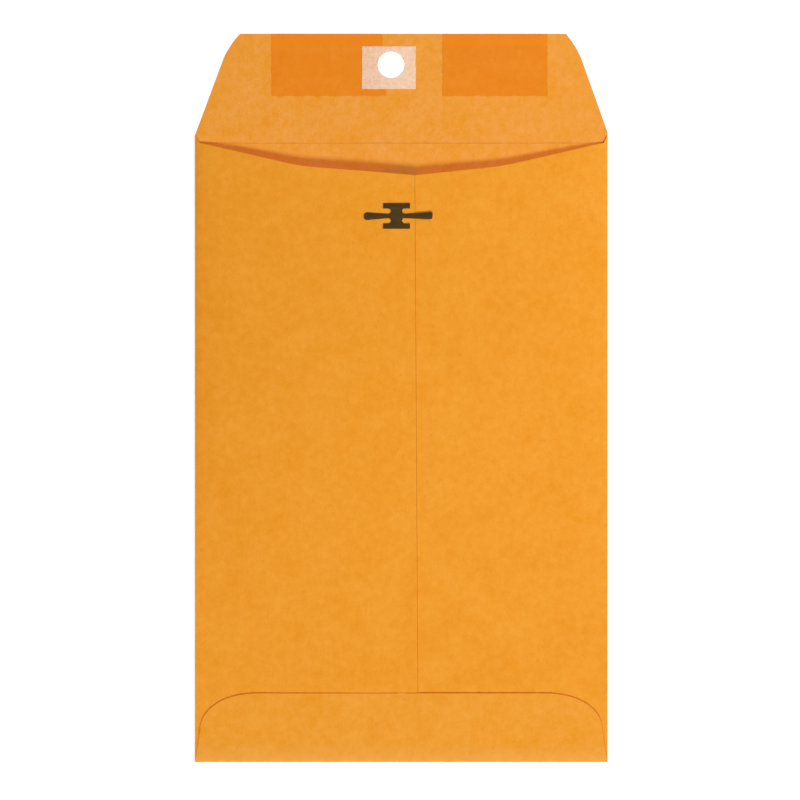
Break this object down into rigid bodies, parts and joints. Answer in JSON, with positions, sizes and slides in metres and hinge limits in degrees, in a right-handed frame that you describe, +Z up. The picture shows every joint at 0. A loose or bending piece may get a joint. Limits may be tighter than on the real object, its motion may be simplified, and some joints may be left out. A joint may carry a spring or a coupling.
{
  "type": "clasp envelope",
  "caption": "Open kraft paper clasp envelope lying on its face, with a lapped back seam, gummed closure flap, patched hole and stamped steel clasp with bending tongues.",
  "frame": {"origin": "under the middle of the open envelope, on the surface that its front lies on", "axes": "+X across the envelope to its right side fold, +Y along it from the bottom fold towards the open closure flap, +Z up out of the back with the seam and the clasp"},
  "size_m": [0.1524, 0.269, 0.0053],
  "materials": {
    "kraft_paper": "unbleached kraft paper, matte with fine fibres",
    "flap_gum": "dried remoistenable gum, satin",
    "fibre_patch": "pale fibrous reinforcing patch, matte",
    "seam_glue": "dried paper adhesive",
    "clasp_steel": "thin stamped steel with a dark bronze-coloured coat"
  },
  "bodies": {
    "envelope": {"front_panel": "kraft_paper", "right_side_panel": "kraft_paper", "left_side_panel": "kraft_paper", "back_seam_glue": "seam_glue", "bottom_flap": "kraft_paper", "bottom_flap_glue": "seam_glue", "clasp_base": "clasp_steel"},
    "flap": {"closure_flap": "kraft_paper", "gum_patch_left": "flap_gum", "gum_patch_right": "flap_gum", "eyelet_patch": "fibre_patch"},
    "tongue_left": {"clasp_tongue_left": "clasp_steel"},
    "tongue_right": {"clasp_tongue_right": "clasp_steel"}
  },
  "joints": [
    {"name": "flap_fold", "type": "hinge", "parent": "envelope", "child": "flap", "pos_m": [0, 0.0941, 0.002], "axis": [1, 0, 0], "range_deg": [0, 173]},
    {"name": "tongue_left_bend", "type": "hinge", "parent": "envelope", "child": "tongue_left", "pos_m": [-0.0039, 0.0668, 0.00525], "axis": [0, 1, 0], "range_deg": [0, 90]},
    {"name": "tongue_right_bend", "type": "hinge", "parent": "envelope", "child": "tongue_right", "pos_m": [0.0004, 0.0668, 0.00525], "axis": [0, -1, 0], "range_deg": [0, 90]}
  ]
}
